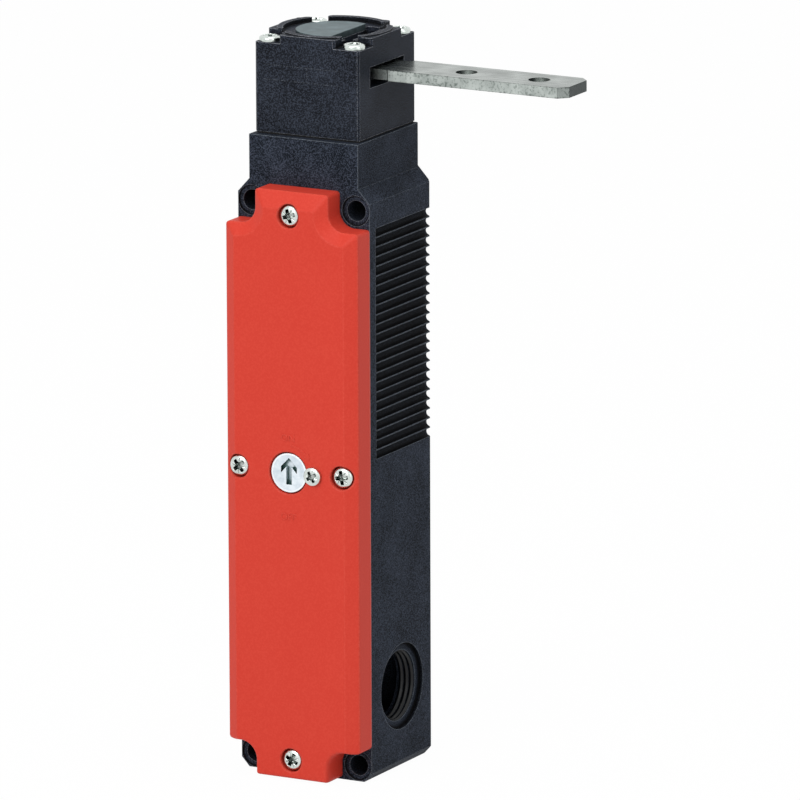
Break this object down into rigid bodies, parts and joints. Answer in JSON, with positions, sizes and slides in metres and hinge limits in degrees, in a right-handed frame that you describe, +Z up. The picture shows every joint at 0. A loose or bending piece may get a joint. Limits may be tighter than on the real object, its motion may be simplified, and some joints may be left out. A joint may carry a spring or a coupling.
{
  "type": "tongue interlock switch",
  "caption": "Upright safety switch with a ribbed housing, red front cover and square head that holds a steel tongue; a solenoid bolt locks the tongue's cam wheel inside.",
  "frame": {"origin": "in the mounting face, at the middle of the four mounting holes", "axes": "+Z up along the housing towards the head, +Y out of the back into the mounting surface (the cover faces -Y), +X towards the side that the tongue leaves"},
  "size_m": [0.0885, 0.0422, 0.1924],
  "materials": {
    "housing_plastic": "fine-textured glass-fibre plastic, anthracite",
    "head_plastic": "fine-textured glass-fibre plastic, anthracite",
    "cover_plastic": "satin moulded plastic, red",
    "gasket_rubber": "black elastomer",
    "zinc_screw": "bright zinc-plated steel",
    "insert_metal": "grained die-cast plate",
    "tongue_steel": "stamped stainless steel, brushed",
    "wheel_metal": "sintered steel",
    "axle_steel": "ground steel pin",
    "contact_plastic": "ivory moulding",
    "terminal_brass": "machined brass",
    "plunger_plastic": "natural acetal",
    "spring_steel": "drawn spring wire",
    "bolt_steel": "ground steel",
    "coil_copper": "enamelled copper winding",
    "bobbin_plastic": "black bobbin moulding",
    "core_steel": "soft iron, passivated",
    "release_metal": "turned and plated zinc alloy"
  },
  "bodies": {
    "housing": {"housing": "housing_plastic", "cover": "cover_plastic", "cover_gasket": "gasket_rubber", "cover_screws": "zinc_screw", "head_casing": "head_plastic", "head_insert": "insert_metal", "head_gasket": "gasket_rubber", "head_screws": "zinc_screw", "cam_axle": "axle_steel", "contact_block": "contact_plastic", "contact_block_screws": "zinc_screw", "contact_terminals": "terminal_brass", "terminal_screws": "zinc_screw", "plunger_spring": "spring_steel", "fixed_core": "core_steel", "armature_spring": "spring_steel", "solenoid_bobbin": "bobbin_plastic", "solenoid_coil": "coil_copper", "solenoid_yoke": "core_steel", "solenoid_screws": "zinc_screw", "seal_screw": "zinc_screw"},
    "tongue": {"tongue": "tongue_steel"},
    "cam_wheel": {"cam_wheel": "wheel_metal"},
    "plunger": {"plunger": "plunger_plastic", "tongue_contact_bridges": "terminal_brass"},
    "lock_bolt": {"lock_bolt": "bolt_steel", "lock_contact_bridge": "terminal_brass", "armature": "core_steel"},
    "release": {"release_disc": "release_metal", "release_seal": "gasket_rubber", "release_clip": "spring_steel"}
  },
  "joints": [
    {"name": "tongue_slide", "type": "slide", "parent": "housing", "child": "tongue", "axis": [1, 0, 0], "range_m": [0, 0.032]},
    {"name": "wheel_turn", "type": "hinge", "parent": "housing", "child": "cam_wheel", "pos_m": [-0.001, -0.0155, 0.098], "axis": [0, 1, 0], "range_deg": [0, 230]},
    {"name": "plunger_slide", "type": "slide", "parent": "housing", "child": "plunger", "axis": [0, 0, -1], "range_m": [0, 0.0029], "deforming": ["plunger_spring"]},
    {"name": "bolt_lift", "type": "slide", "parent": "housing", "child": "lock_bolt", "axis": [0, 0, 1], "range_m": [0, 0.005], "stiffness_N_per_m": 300, "springref_m": -0.002, "deforming": ["armature_spring"]},
    {"name": "release_turn", "type": "hinge", "parent": "housing", "child": "release", "pos_m": [-0.0003, -0.02, 0.0045], "axis": [0, 1, 0], "range_deg": [0, 90]}
  ],
  "couplings": [
    {"joint": "wheel_turn", "follows": "tongue_slide", "rad_per_m": 125},
    {"joint": "plunger_slide", "follows": "tongue_slide", "ratio": 0.0875}
  ]
}
